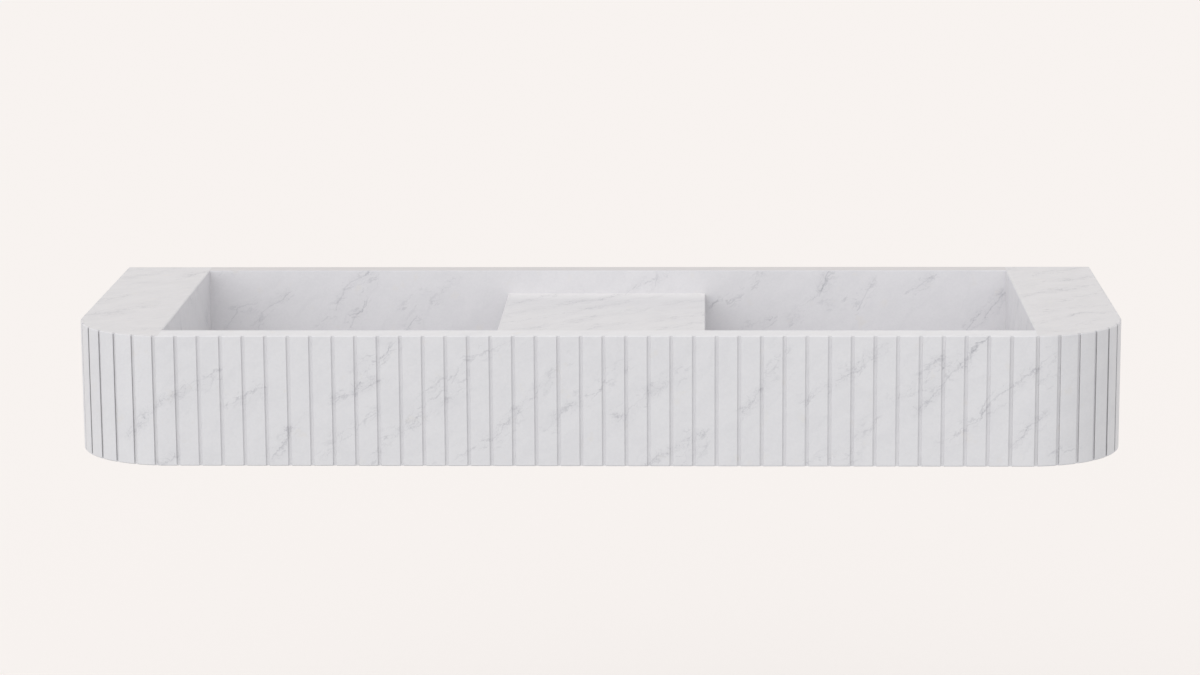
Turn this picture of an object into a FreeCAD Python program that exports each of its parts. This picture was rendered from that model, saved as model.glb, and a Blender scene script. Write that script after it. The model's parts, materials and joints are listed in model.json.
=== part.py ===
"""Wall-hung double washbasin built from marble slabs, with a fluted front and rounded front corners.

Millimetres. +X is to the right, +Y goes into the wall and +Z is up. The origin lies on the wall,
at the middle of the four wall fixings.
"""
import FreeCAD, Part
import math
import os

# Overall size of the stone body
WIDTH = 1200.0
DEPTH = 450.0
HEIGHT = 150.0
CORNER_RADIUS = 115.0

# Fluted walls: slats parted by square grooves
WALL = 35.0
CAVITY_RADIUS = 50.0
SLAT_PITCH = 25.35
LEFT_JOINT_INSET = 10.3
RIGHT_JOINT_INSET = 19.1
WIDE_SLAT_EXTRA = 3.75
GROOVE_WIDTH = 3.9
GROOVE_DEPTH = 2.2
GROOVE_ARRIS = 0.4
ARRIS = 1.0

# Decks at both ends, let into a rebate of the walls
DECK_WIDTH = 105.0
DECK_THICKNESS = 22.0
DECK_BEARING = 15.0

# Basins
BASIN_DEPTH = 110.0
BACK_THICKNESS = 22.0
END_WALL_THICKNESS = 20.0
FLOOR_THICKNESS = 26.0
FLOOR_FALL = 8.0
FLOOR_HOUSING = 8.0
SUMP_MARGIN = 8.0

# Shelf between the basins
SHELF_WIDTH = 245.0
SHELF_DROP = 30.0
SHELF_THICKNESS = 20.0
CHEEK_THICKNESS = 20.0

# Steel dowels in the joints of the fluted walls
DOWEL_DIAMETER = 8.0
DOWEL_LENGTH = 60.0
DOWEL_COVER = 16.0
DOWEL_GAP = 0.1

# Steel brackets under the decks
BRACKET_STEEL = 8.0
BRACKET_SIDE_GAP = 2.0
WALL_PLATE_HEIGHT = 100.0
ARM_FRONT_GAP = 100.0
WEB_TIP_HEIGHT = 18.0
FIXING_SPACING = 64.0
FIXING_HOLE = 11.0
PAD_THICKNESS = 3.0

# Bolts that hold the decks to the brackets
BOLT_DIAMETER = 8.0
BOLT_GAP = 0.5
BOLT_FROM_WALL = 70.0
BOLT_FROM_TIP = 40.0
HEAD_ACROSS = 13.0
HEAD_HEIGHT = 5.3
WASHER_DIAMETER = 16.0
WASHER_THICKNESS = 1.6
INSERT_DIAMETER = 12.0
INSERT_LENGTH = 14.0
THREAD_GAP = 0.1

# Waste bodies
FLANGE_DIAMETER = 66.0
FLANGE_THICKNESS = 3.0
FLANGE_GAP = 0.5
TAIL_DIAMETER = 41.9
TAIL_WALL = 3.0
WASTE_LENGTH = 70.0
RELIEF_DROP = 2.0
RELIEF_WIDTH = 3.0
RELIEF_DEPTH = 1.0
THROAT_FLARE = 5.0
DRAIN_GAP = 2.0
SPIDER_DROP = 18.0
SPIDER_HEIGHT = 7.0
SPIDER_RIB = 3.0
SPIDER_RIBS = 3
BOSS_WALL = 3.0

# Seals and nut that clamp each waste to the basin floor
FLANGE_SEAL_THICKNESS = 2.0
GASKET_DIAMETER = 60.0
GASKET_THICKNESS = 3.0
GASKET_GAP = 0.3
NUT_ACROSS = 54.0
NUT_HEIGHT = 8.0

# Push-open plug: cap, seal, plunger and its spring cartridge
PLUG_LIFT = 10.0
CAP_MARGIN = 3.0
CAP_EDGE = 3.0
CAP_CROWN = 2.0
CAP_BOSS_DIAMETER = 12.0
CAP_BOSS_DEPTH = 8.0
CAP_TOP_COVER = 1.5
PLUG_SEAL_WIDTH = 4.5
PLUG_SEAL_THICKNESS = 2.0
SEAT_GAP = 0.3
STEM_DIAMETER = 6.0
SLIDE_GAP = 0.3
COLLAR_HEIGHT = 4.0
BARREL_DIAMETER = 13.0
BARREL_WALL = 1.6
BARREL_FIT = 0.1
BARREL_LIP = 2.0
SHOULDER_WIDTH = 2.0
BASE_THICKNESS = 3.0
SPRING_LENGTH = 9.0
SPRING_WIRE = 1.0
SPRING_GAP = 0.2
SPRING_TURNS = 5
ARCS_PER_TURN = 4

# How far cutting shapes run past the faces that they cut
OVERRUN = 2.0

# Heights, measured from the wall fixings
deck_drop = DECK_THICKNESS + PAD_THICKNESS + BRACKET_STEEL
rim_z = deck_drop + (WALL_PLATE_HEIGHT - BRACKET_STEEL) / 2
bottom_z = rim_z - HEIGHT
deck_z = rim_z - DECK_THICKNESS
shelf_z = rim_z - SHELF_DROP
floor_z = rim_z - BASIN_DEPTH
floor_under_z = floor_z - FLOOR_THICKNESS
sump_z = floor_z - FLOOR_FALL
arm_top_z = deck_z - PAD_THICKNESS
arm_under_z = arm_top_z - BRACKET_STEEL
plate_under_z = arm_top_z - WALL_PLATE_HEIGHT

# Places in plan
half_width = WIDTH / 2
basin_half = half_width - DECK_WIDTH
end_half = basin_half + END_WALL_THICKNESS
shelf_half = SHELF_WIDTH / 2
front_y = -DEPTH
front_inner_y = front_y + WALL
back_inner_y = -BACK_THICKNESS
drain_x = (basin_half + shelf_half) / 2
drain_y = (front_inner_y + back_inner_y) / 2

# Runs along the outer face from its middle. The slats of the front slab are spread evenly between its two
# joints, and from there slats go on round the corners to the wall. The first one on the right is wider.
# All pieces part in grooves.
front_half = half_width - CORNER_RADIUS
corner_run = CORNER_RADIUS * math.pi / 2
turn_end = front_half + corner_run
last_run = turn_end + DEPTH - CORNER_RADIUS - SLAT_PITCH / 2
front_joint_x = {"left": LEFT_JOINT_INSET - front_half, "right": front_half - RIGHT_JOINT_INSET}
front_span = front_joint_x["right"] - front_joint_x["left"]
front_slats = round(front_span / SLAT_PITCH)


def runs_to_wall(start):
    """Distances from the middle of the grooves between a start and the wall."""
    return [start + k * SLAT_PITCH for k in range(1, int((last_run - start) / SLAT_PITCH) + 1)]


outer_runs = {"left": runs_to_wall(-front_joint_x["left"]),
              "right": runs_to_wall(front_joint_x["right"] + WIDE_SLAT_EXTRA)}
groove_runs = [front_joint_x["left"] + k * front_span / front_slats for k in range(front_slats + 1)]
groove_runs += [-run for run in outer_runs["left"]] + outer_runs["right"]
side_joint_y = {hand: front_y + CORNER_RADIUS - turn_end + min(run for run in runs if run >= turn_end)
                for hand, runs in outer_runs.items()}

# Bracket places, taken from the hollow between an end wall and a side
bracket_in = end_half + BRACKET_SIDE_GAP
bracket_out = half_width - WALL - BRACKET_SIDE_GAP
bolt_x = (bracket_in + BRACKET_STEEL + bracket_out) / 2
arm_tip_y = front_inner_y + ARM_FRONT_GAP
bolt_ys = (-BOLT_FROM_WALL, arm_tip_y + BOLT_FROM_TIP)
washer_under_z = arm_under_z - WASHER_THICKNESS

# Radii of a waste and its plug, and heights below the top of its flange
flange_r = FLANGE_DIAMETER / 2
tail_r = TAIL_DIAMETER / 2
waste_bore_r = tail_r - TAIL_WALL
throat_r = waste_bore_r + THROAT_FLARE
barrel_r = BARREL_DIAMETER / 2
barrel_bore_r = barrel_r - BARREL_WALL
boss_bore_r = barrel_r + BARREL_FIT
stem_r = STEM_DIAMETER / 2
cap_r = flange_r - CAP_MARGIN
floor_below_flange = FLOOR_THICKNESS - FLOOR_FALL
relief_top = -floor_below_flange - GASKET_THICKNESS - NUT_HEIGHT - RELIEF_DROP
lip_under = -SPIDER_DROP
collar_top = lip_under - SLIDE_GAP - PLUG_LIFT
collar_under = collar_top - COLLAR_HEIGHT
base_top = collar_under - SPRING_LENGTH
barrel_end = base_top - BASE_THICKNESS
cap_under = SEAT_GAP + PLUG_SEAL_THICKNESS
stem_top = cap_under + CAP_EDGE - CAP_TOP_COVER


def vector(x, y, z):
    return FreeCAD.Vector(x, y, z)


def box(x_low, x_high, y_low, y_high, z_low, z_high):
    return Part.makeBox(x_high - x_low, y_high - y_low, z_high - z_low, vector(x_low, y_low, z_low))


def cylinder(radius, z_low, z_high, x=0, y=0):
    return Part.makeCylinder(radius, z_high - z_low, vector(x, y, z_low))


def tube(outer, inner, z_low, z_high, x=0, y=0):
    bore = cylinder(inner, z_low - OVERRUN, z_high + OVERRUN, x, y)
    return cylinder(outer, z_low, z_high, x, y).cut(bore)


def hexagon(across, z_low, z_high, x=0, y=0):
    reach = across / 2 / math.cos(math.pi / 6)
    turns = [math.pi / 3 * k for k in range(7)]
    corners = [vector(x + reach * math.cos(a), y + reach * math.sin(a), z_low) for a in turns]
    return Part.Face(Part.makePolygon(corners)).extrude(vector(0, 0, z_high - z_low))


def rectangle(x_low, x_high, y_low, y_high, z):
    corners = [(x_low, y_low), (x_high, y_low), (x_high, y_high), (x_low, y_high)]
    return [vector(x, y, z) for x, y in corners]


def frustum(low, high):
    """Flat-sided solid between two rectangles at different heights."""
    rings = [low, high]
    for k in range(4):
        rings.append([low[k], low[k - 1], high[k - 1], high[k]])
    faces = [Part.Face(Part.makePolygon(ring + ring[:1])) for ring in rings]
    return Part.makeSolid(Part.makeShell(faces))


def revolved(profile):
    """Turn an outline of (radius, height) points about the Z axis."""
    corners = [vector(radius, 0, z) for radius, z in profile + profile[:1]]
    return Part.Face(Part.makePolygon(corners)).revolve(vector(0, 0, 0), vector(0, 0, 1), 360)


def mirrored(shape):
    return shape.mirror(vector(0, 0, 0), vector(1, 0, 0))


def both_sides(right):
    """Both hands of a shape made for the right-hand side, by name."""
    return {"left": mirrored(right), "right": right}


def plan_prism(inset, radius, z_low, z_high):
    """The plan of the basin, drawn in by an inset: open to the wall, with two rounded front corners."""
    x = half_width - inset
    y = front_y + inset
    bow = radius * (1 - math.sqrt(0.5))
    backs, sides, bows, tips = [
        [vector(hand * across, along, z_low) for hand in (-1, 1)]
        for across, along in ((x, 0), (x, y + radius), (x - bow, y + bow), (x - radius, y))
    ]
    edges = [
        Part.makeLine(backs[0], sides[0]),
        Part.Arc(sides[0], bows[0], tips[0]).toShape(),
        Part.makeLine(tips[0], tips[1]),
        Part.Arc(tips[1], bows[1], sides[1]).toShape(),
        Part.makeLine(sides[1], backs[1]),
        Part.makeLine(backs[1], backs[0]),
    ]
    return Part.Face(Part.Wire(edges)).extrude(vector(0, 0, z_high - z_low))


def place_on_face(run):
    """Point and outward direction on the outer face, at a run from its middle."""
    side = math.copysign(1, run)
    run = abs(run)
    if run <= front_half:
        return vector(side * run, front_y, 0), vector(0, -1, 0)
    if run <= front_half + corner_run:
        turn = (run - front_half) / CORNER_RADIUS
        out = vector(side * math.sin(turn), -math.cos(turn), 0)
        return vector(side * front_half, front_y + CORNER_RADIUS, 0) + out * CORNER_RADIUS, out
    y = front_y + CORNER_RADIUS + run - front_half - corner_run
    return vector(side * half_width, y, 0), vector(side, 0, 0)


def groove_cutter(run):
    """One square groove with eased edges, from below the bottom to above the rim."""
    point, out = place_on_face(run)
    along = vector(-out.y, out.x, 0)
    half = GROOVE_WIDTH / 2
    mouth = half + GROOVE_ARRIS + OVERRUN
    section = [(-half, -GROOVE_DEPTH), (half, -GROOVE_DEPTH), (half, -GROOVE_ARRIS), (mouth, OVERRUN),
               (-mouth, OVERRUN), (-half, -GROOVE_ARRIS), (-half, -GROOVE_DEPTH)]
    foot = vector(0, 0, bottom_z - OVERRUN)
    corners = [point + foot + along * across + out * deep for across, deep in section]
    return Part.Face(Part.makePolygon(corners)).extrude(vector(0, 0, HEIGHT + 2 * OVERRUN))


def mouth_cutter():
    """Eases the top edge all round the opening between the decks, the front and the back."""
    grow = ARRIS + OVERRUN
    low = rectangle(-basin_half, basin_half, front_inner_y, back_inner_y, rim_z - ARRIS)
    high = rectangle(-basin_half - grow, basin_half + grow, front_inner_y - grow, back_inner_y + grow,
                     rim_z + OVERRUN)
    return frustum(low, high)


def deck_blank():
    """Right-hand deck before its edge is eased and its inserts are let in."""
    inset = WALL - DECK_BEARING
    slab = plan_prism(inset, CORNER_RADIUS - inset, deck_z, rim_z)
    return slab.common(box(basin_half, half_width, front_y, 0, deck_z, rim_z))


def floor_blank():
    """Floor slab for both basins, with its front and back edges in housings."""
    return box(-end_half, end_half, front_inner_y - FLOOR_HOUSING, back_inner_y + FLOOR_HOUSING,
               floor_under_z, floor_z)


def dowels(radius_gap):
    """Pins across the front joints and the side joints, in the solid stone behind the grooves."""
    radius = DOWEL_DIAMETER / 2 + radius_gap
    inset = (GROOVE_DEPTH + WALL - FLOOR_HOUSING) / 2
    start = DOWEL_LENGTH / 2 + radius_gap
    pins = []
    for z in (deck_z - DOWEL_COVER, bottom_z + DOWEL_COVER):
        for hand, joint_x in front_joint_x.items():
            front = vector(joint_x - start, front_y + inset, z)
            side = vector(math.copysign(half_width - inset, joint_x), side_joint_y[hand] - start, z)
            pins.append(Part.makeCylinder(radius, 2 * start, front, vector(1, 0, 0)))
            pins.append(Part.makeCylinder(radius, 2 * start, side, vector(0, 1, 0)))
    return Part.makeCompound(pins)


def fluted_walls():
    """Front, corners and sides in one, before they are parted in the grooves."""
    block = plan_prism(0, CORNER_RADIUS, bottom_z, rim_z)
    flat_edges = [edge for edge in block.Edges if edge.BoundBox.ZLength < ARRIS]
    eased = block.makeChamfer(ARRIS, [edge for edge in flat_edges if edge.CenterOfMass.y < -ARRIS])
    hollow = plan_prism(WALL, CAVITY_RADIUS, bottom_z - OVERRUN, rim_z + OVERRUN)
    deck = deck_blank()
    walls = eased.cut(hollow).cut([deck, mirrored(deck), floor_blank(), mouth_cutter()])
    return walls.cut([groove_cutter(run) for run in groove_runs]).cut(dowels(DOWEL_GAP).Solids)


def wall_pieces():
    walls = fluted_walls()
    front = box(front_joint_x["left"], front_joint_x["right"], front_y, front_inner_y, bottom_z, rim_z)
    pieces = {"front_fascia": walls.common(front)}
    for hand, joint_x in front_joint_x.items():
        joint_y = side_joint_y[hand]
        outer_x = math.copysign(half_width, joint_x)
        inner_x = math.copysign(half_width - WALL, joint_x)
        corner = box(min(joint_x, outer_x), max(joint_x, outer_x), front_y, joint_y, bottom_z, rim_z)
        side = box(min(inner_x, outer_x), max(inner_x, outer_x), joint_y, 0, bottom_z, rim_z)
        pieces[f"{hand}_corner"] = walls.common(corner)
        pieces[f"{hand}_side"] = walls.common(side)
    return pieces


def insert_holes():
    top = deck_z + INSERT_LENGTH
    return [cylinder(INSERT_DIAMETER / 2, deck_z, top, bolt_x, y) for y in bolt_ys]


def deck():
    return deck_blank().cut(insert_holes() + [mouth_cutter()])


def back_slab():
    """Slab against the wall, with its ends stepped down under the decks."""
    slab = box(-end_half, end_half, back_inner_y, 0, bottom_z, rim_z)
    over = deck_blank()
    return slab.cut([over, mirrored(over), floor_blank(), mouth_cutter()])


def end_wall():
    return box(basin_half, end_half, front_inner_y, back_inner_y, floor_z, deck_z)


def basin_floor():
    """One slab with four falls to each drain, a seat for the waste flange and a drain hole."""
    slab = floor_blank()
    sump = flange_r + SUMP_MARGIN
    high = rectangle(shelf_half, basin_half, front_inner_y, back_inner_y, floor_z)
    low = rectangle(drain_x - sump, drain_x + sump, drain_y - sump, drain_y + sump, sump_z)
    falls = frustum(low, high)
    seat_depth = FLANGE_THICKNESS + FLANGE_SEAL_THICKNESS
    seat = cylinder(flange_r + FLANGE_GAP, sump_z - seat_depth, floor_z, drain_x, drain_y)
    drain = cylinder(tail_r + DRAIN_GAP, floor_under_z - OVERRUN, floor_z, drain_x, drain_y)
    right = [falls, seat, drain]
    return slab.cut(right + [mirrored(cutter) for cutter in right])


def centre_shelf():
    """Shelf between the basins, with its two long edges eased."""
    slab = box(-shelf_half, shelf_half, front_inner_y, back_inner_y, shelf_z - SHELF_THICKNESS, shelf_z)
    top_edges = [edge for edge in slab.Edges if edge.BoundBox.ZMin > shelf_z - ARRIS]
    return slab.makeChamfer(ARRIS, [edge for edge in top_edges if edge.BoundBox.XLength < ARRIS])


def shelf_cheek():
    return box(shelf_half - CHEEK_THICKNESS, shelf_half, front_inner_y, back_inner_y,
               floor_z, shelf_z - SHELF_THICKNESS)


def bolt_holes(z_low, z_high):
    radius = BOLT_DIAMETER / 2 + BOLT_GAP
    return [cylinder(radius, z_low - OVERRUN, z_high + OVERRUN, bolt_x, y) for y in bolt_ys]


def bracket():
    """Wall plate, arm and web welded together, drilled for the wall fixings and the deck bolts."""
    plate = box(bracket_in, bracket_out, -BRACKET_STEEL, 0, plate_under_z, arm_top_z)
    arm = box(bracket_in, bracket_out, arm_tip_y, 0, arm_under_z, arm_top_z)
    corners = [(-BRACKET_STEEL, arm_under_z), (arm_tip_y, arm_under_z),
               (arm_tip_y, arm_under_z - WEB_TIP_HEIGHT), (-BRACKET_STEEL, plate_under_z)]
    outline = [vector(bracket_in, y, z) for y, z in corners + corners[:1]]
    web = Part.Face(Part.makePolygon(outline)).extrude(vector(BRACKET_STEEL, 0, 0))
    fixings = [Part.makeCylinder(FIXING_HOLE / 2, BRACKET_STEEL + 2 * OVERRUN,
                                 vector(bolt_x, -BRACKET_STEEL - OVERRUN, z), vector(0, 1, 0))
               for z in (-FIXING_SPACING / 2, FIXING_SPACING / 2)]
    welded = plate.fuse([arm, web]).removeSplitter()
    return welded.cut(fixings + bolt_holes(arm_under_z, arm_top_z))


def bracket_pad():
    pad = box(bracket_in, bracket_out, arm_tip_y, 0, arm_top_z, deck_z)
    return pad.cut(bolt_holes(arm_top_z, deck_z))


def deck_bolt(y):
    """Hexagon bolt from under the arm, up into the insert in the deck."""
    head = hexagon(HEAD_ACROSS, washer_under_z - HEAD_HEIGHT, washer_under_z, bolt_x, y)
    shank = cylinder(BOLT_DIAMETER / 2, washer_under_z, deck_z + INSERT_LENGTH - THREAD_GAP, bolt_x, y)
    return head.fuse(shank).removeSplitter()


def deck_washer(y):
    return tube(WASHER_DIAMETER / 2, BOLT_DIAMETER / 2 + BOLT_GAP, washer_under_z, arm_under_z, bolt_x, y)


def deck_insert(y):
    bore = BOLT_DIAMETER / 2 + THREAD_GAP
    return tube(INSERT_DIAMETER / 2, bore, deck_z, deck_z + INSERT_LENGTH, bolt_x, y)


def four_of(make):
    """Four alike, two on each bracket, as separate solids of one node."""
    right = [make(y) for y in bolt_ys]
    return Part.makeCompound(right + [mirrored(solid) for solid in right])


def waste_body():
    """Flange, flared throat and tail turned in one, with a spider that carries the cartridge.

    A turned relief under the back nut parts the clamped length of the tail from its free end.
    """
    relief_end = relief_top - RELIEF_WIDTH
    relief_r = tail_r - RELIEF_DEPTH
    shell = revolved([(waste_bore_r, -WASTE_LENGTH), (tail_r, -WASTE_LENGTH), (tail_r, relief_end),
                      (relief_r, relief_end), (relief_r, relief_top), (tail_r, relief_top),
                      (tail_r, -FLANGE_THICKNESS), (flange_r, -FLANGE_THICKNESS), (flange_r, 0),
                      (throat_r, 0), (waste_bore_r, -THROAT_FLARE)])
    spider_end = -SPIDER_DROP - SPIDER_HEIGHT
    boss = cylinder(boss_bore_r + BOSS_WALL, spider_end, -SPIDER_DROP)
    ribs = []
    for k in range(SPIDER_RIBS):
        rib = box(0, waste_bore_r + TAIL_WALL / 2, -SPIDER_RIB / 2, SPIDER_RIB / 2, spider_end, -SPIDER_DROP)
        rib.rotate(vector(0, 0, 0), vector(0, 0, 1), 360 / SPIDER_RIBS * k)
        ribs.append(rib)
    bore = cylinder(boss_bore_r, spider_end - OVERRUN, -SPIDER_DROP + OVERRUN)
    return shell.fuse([boss] + ribs).removeSplitter().cut(bore)


def flange_seal():
    top = -FLANGE_THICKNESS
    return tube(flange_r, tail_r + GASKET_GAP, top - FLANGE_SEAL_THICKNESS, top)


def under_gasket():
    top = -floor_below_flange
    return tube(GASKET_DIAMETER / 2, tail_r + GASKET_GAP, top - GASKET_THICKNESS, top)


def back_nut():
    top = -floor_below_flange - GASKET_THICKNESS
    bore = cylinder(tail_r + THREAD_GAP, top - NUT_HEIGHT - OVERRUN, top + OVERRUN)
    return hexagon(NUT_ACROSS, top - NUT_HEIGHT, top).cut(bore)


def cartridge_barrel():
    """Sleeve that hangs by its shoulder in the spider, with a lip that stops the plunger."""
    shoulder_r = boss_bore_r + SHOULDER_WIDTH
    lip_top = lip_under + BARREL_LIP
    return revolved([(stem_r + SLIDE_GAP, lip_under), (barrel_bore_r, lip_under), (barrel_bore_r, barrel_end),
                     (barrel_r, barrel_end), (barrel_r, lip_under), (shoulder_r, lip_under),
                     (shoulder_r, lip_top), (stem_r + SLIDE_GAP, lip_top)])


def cartridge_base():
    return cylinder(barrel_bore_r - BARREL_FIT, barrel_end, base_top)


def plug_spring():
    """Wire coil between the base and the plunger's collar, as quarter-turn arcs."""
    radius = barrel_bore_r - SLIDE_GAP - SPRING_WIRE
    rise = SPRING_LENGTH - SPRING_WIRE - 2 * SPRING_GAP
    steps = SPRING_TURNS * ARCS_PER_TURN
    foot = base_top + SPRING_GAP + SPRING_WIRE / 2

    def on_coil(step):
        turn = 2 * math.pi * step / ARCS_PER_TURN
        return vector(radius * math.cos(turn), radius * math.sin(turn), foot + rise * step / steps)

    arcs = [Part.Arc(on_coil(k), on_coil(k + 0.5), on_coil(k + 1)).toShape() for k in range(steps)]
    start = arcs[0].tangentAt(arcs[0].FirstParameter)
    wire_section = Part.Wire(Part.makeCircle(SPRING_WIRE / 2, on_coil(0), start))
    return Part.Wire(arcs).makePipeShell([wire_section], True, False)


def plunger():
    """Stem that screws into the cap, with a collar that slides in the barrel."""
    collar = cylinder(barrel_bore_r - SLIDE_GAP, collar_under, collar_top)
    return collar.fuse(cylinder(stem_r, collar_under, stem_top)).removeSplitter()


def plug_cap():
    """Domed disc that covers the throat, with a tapped boss under it."""
    boss_r = CAP_BOSS_DIAMETER / 2
    edge_top = cap_under + CAP_EDGE
    crown = vector(0, 0, edge_top + CAP_CROWN)
    dome_r = (cap_r ** 2 + CAP_CROWN ** 2) / (2 * CAP_CROWN)
    half_turn = math.asin(cap_r / dome_r) / 2
    shoulder = vector(dome_r * math.sin(half_turn), 0, crown.z - dome_r * (1 - math.cos(half_turn)))
    rim = vector(cap_r, 0, edge_top)
    corners = [rim, vector(cap_r, 0, cap_under), vector(boss_r, 0, cap_under),
               vector(boss_r, 0, cap_under - CAP_BOSS_DEPTH), vector(0, 0, cap_under - CAP_BOSS_DEPTH), crown]
    edges = [Part.makeLine(a, b) for a, b in zip(corners, corners[1:])]
    edges.append(Part.Arc(crown, shoulder, rim).toShape())
    turned = Part.Face(Part.Wire(edges)).revolve(vector(0, 0, 0), vector(0, 0, 1), 360)
    return turned.cut(cylinder(stem_r + THREAD_GAP, cap_under - CAP_BOSS_DEPTH - OVERRUN, stem_top))


def plug_seal():
    inner = throat_r + SEAT_GAP
    return tube(inner + PLUG_SEAL_WIDTH, inner, SEAT_GAP, cap_under)


def placed_wastes():
    """Every piece of both wastes, moved from its own axis to the two drains."""
    makers = (waste_body, flange_seal, under_gasket, back_nut, cartridge_barrel, cartridge_base,
              plug_spring, plunger, plug_cap, plug_seal)
    pieces = {}
    for make in makers:
        shape = make()
        for hand, x in (("left", -drain_x), ("right", drain_x)):
            pieces[f"{hand}_{make.__name__}"] = shape.translated(vector(x, drain_y, sump_z))
    return pieces


def assembly():
    pieces = wall_pieces()
    pieces["back_slab"] = back_slab()
    pieces["basin_floor"] = basin_floor()
    pieces["centre_shelf"] = centre_shelf()
    pieces["dowel_pins"] = dowels(0)
    for make in (deck, end_wall, shelf_cheek, bracket, bracket_pad):
        for hand, shape in both_sides(make()).items():
            pieces[f"{hand}_{make.__name__}"] = shape
    for make in (deck_bolt, deck_washer, deck_insert):
        pieces[f"{make.__name__}s"] = four_of(make)
    pieces.update(placed_wastes())
    return pieces


os.makedirs("parts", exist_ok=True)
for node, shape in assembly().items():
    shape.exportStep(f"parts/{node}.step")
print(f"{len(groove_runs)} grooves, {front_slats} slats of {front_span / front_slats:.2f} mm on the front,",
      f"joints at x {front_joint_x} and y {side_joint_y}")
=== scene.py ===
# %% [markdown]
# # A fluted marble double washbasin
#
# The basin is built from white marble slabs with soft grey veins. The slabs, wastes and brackets come in as
# a measured model, so this lesson is about finish: how honed stone, chrome, brass, rubber and powder coat
# look, and how a few fine details are grown with Geometry Nodes.

# %% Load the measured model
import json
import math
import bpy
from collections import namedtuple
from mathutils import Matrix, Vector


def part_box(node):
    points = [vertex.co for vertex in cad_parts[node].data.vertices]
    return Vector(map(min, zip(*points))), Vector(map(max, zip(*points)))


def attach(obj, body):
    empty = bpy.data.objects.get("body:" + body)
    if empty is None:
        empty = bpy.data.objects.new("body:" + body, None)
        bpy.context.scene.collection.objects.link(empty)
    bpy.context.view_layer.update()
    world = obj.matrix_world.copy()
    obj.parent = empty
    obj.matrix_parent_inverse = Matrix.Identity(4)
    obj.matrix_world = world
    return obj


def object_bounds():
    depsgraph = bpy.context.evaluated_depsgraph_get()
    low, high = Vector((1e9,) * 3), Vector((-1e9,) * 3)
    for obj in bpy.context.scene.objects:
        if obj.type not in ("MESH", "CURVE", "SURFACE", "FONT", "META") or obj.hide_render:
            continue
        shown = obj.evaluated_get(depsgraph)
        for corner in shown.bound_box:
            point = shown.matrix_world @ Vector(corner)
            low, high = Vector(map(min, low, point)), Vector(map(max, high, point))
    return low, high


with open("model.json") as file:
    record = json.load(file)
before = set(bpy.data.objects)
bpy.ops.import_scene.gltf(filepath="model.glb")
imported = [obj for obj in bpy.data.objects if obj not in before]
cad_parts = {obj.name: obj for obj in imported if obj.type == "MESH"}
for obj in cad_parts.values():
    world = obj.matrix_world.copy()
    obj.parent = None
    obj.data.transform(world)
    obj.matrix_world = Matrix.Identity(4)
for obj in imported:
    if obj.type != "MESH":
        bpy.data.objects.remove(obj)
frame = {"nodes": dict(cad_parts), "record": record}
cad_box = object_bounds()
nodes = frame["nodes"]
slot_of = {part["node"]: part["material_slot"] for part in frame["record"]["subparts"]}
print("loaded", len(nodes), "pieces, box", [[round(v, 3) for v in corner] for corner in cad_box])

# %% [markdown]
# ## Camera
#
# The photograph looks down at the basin from a little right of its middle, through a long lens. Such a view
# needs a camera about four metres away. It is placed by its distance from the wall, and turned by a dip
# below the horizon, a swing to the left and a slight roll, all found by matching the edges of the rim and
# the bottom. A camera that isn't turned looks straight down, so a quarter turn makes it level.

# %% Camera
PHOTO_WIDTH = 1200
FOCAL_PIXELS = 3507.9
SENSOR_WIDTH = 36.0
CAMERA_PLACE = Vector((0.123, -4.3133, 0.8331))
CAMERA_DIP, CAMERA_SWING, CAMERA_ROLL = 11.0623, 1.7567, -0.3306
LEVEL = 90.0

camera_data = bpy.data.cameras.new("camera")
camera_data.sensor_width = SENSOR_WIDTH
camera_data.lens = FOCAL_PIXELS / PHOTO_WIDTH * SENSOR_WIDTH
camera = bpy.data.objects.new("camera", camera_data)
aim = (Matrix.Rotation(math.radians(CAMERA_SWING), 4, "Z")
       @ Matrix.Rotation(math.radians(LEVEL - CAMERA_DIP), 4, "X")
       @ Matrix.Rotation(math.radians(CAMERA_ROLL), 4, "Z"))
camera.matrix_world = Matrix.Translation(CAMERA_PLACE) @ aim
bpy.context.scene.collection.objects.link(camera)
bpy.context.scene.camera = camera
bpy.context.scene.view_settings.view_transform = "Standard"
print("camera lens", round(camera_data.lens, 1), "mm")

# %% [markdown]
# ## Shader maths as Python
#
# A node tree is a formula, and a formula is easier to read as one line than as twenty boxes. The small
# class below holds one socket of a material's tree. Adding, subtracting or multiplying it adds a Math node,
# and every other node comes from its one method, which takes the node's type, its settings and what goes
# into its sockets.

# %% Socket class
class Tap:
    """One output socket of a material's nodes, with arithmetic."""

    def __init__(self, tree, socket=None):
        self.tree = tree
        self.socket = socket

    def node(self, kind, settings=None, inputs=None, output=0):
        made = self.tree.nodes.new(kind)
        for name, value in (settings or {}).items():
            setattr(made, name, value)
        for name, value in (inputs or {}).items():
            if isinstance(value, Tap):
                self.tree.links.new(value.socket, made.inputs[name])
            else:
                made.inputs[name].default_value = value
        return Tap(self.tree, made.outputs[output])

    def maths(self, operation, first, second):
        return self.node("ShaderNodeMath", {"operation": operation}, {0: first, 1: second})

    def __add__(self, other):
        return self.maths("ADD", self, other)

    def __sub__(self, other):
        return self.maths("SUBTRACT", self, other)

    def __rsub__(self, other):
        return self.maths("SUBTRACT", other, self)

    def __mul__(self, other):
        return self.maths("MULTIPLY", self, other)

    def __abs__(self):
        return self.maths("ABSOLUTE", self, 0.0)

    __radd__ = __add__
    __rmul__ = __mul__


print("socket class ready")

# %% [markdown]
# A few nodes are wanted again and again. Noise is the commonest: each finish has soft patches of something,
# such as dust or tarnish. A set of patches is noise of a scale, with fine detail of a roughness, and the
# two heights of the noise between which a patch begins and is complete. A shift of the point gives another
# pattern.

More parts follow.
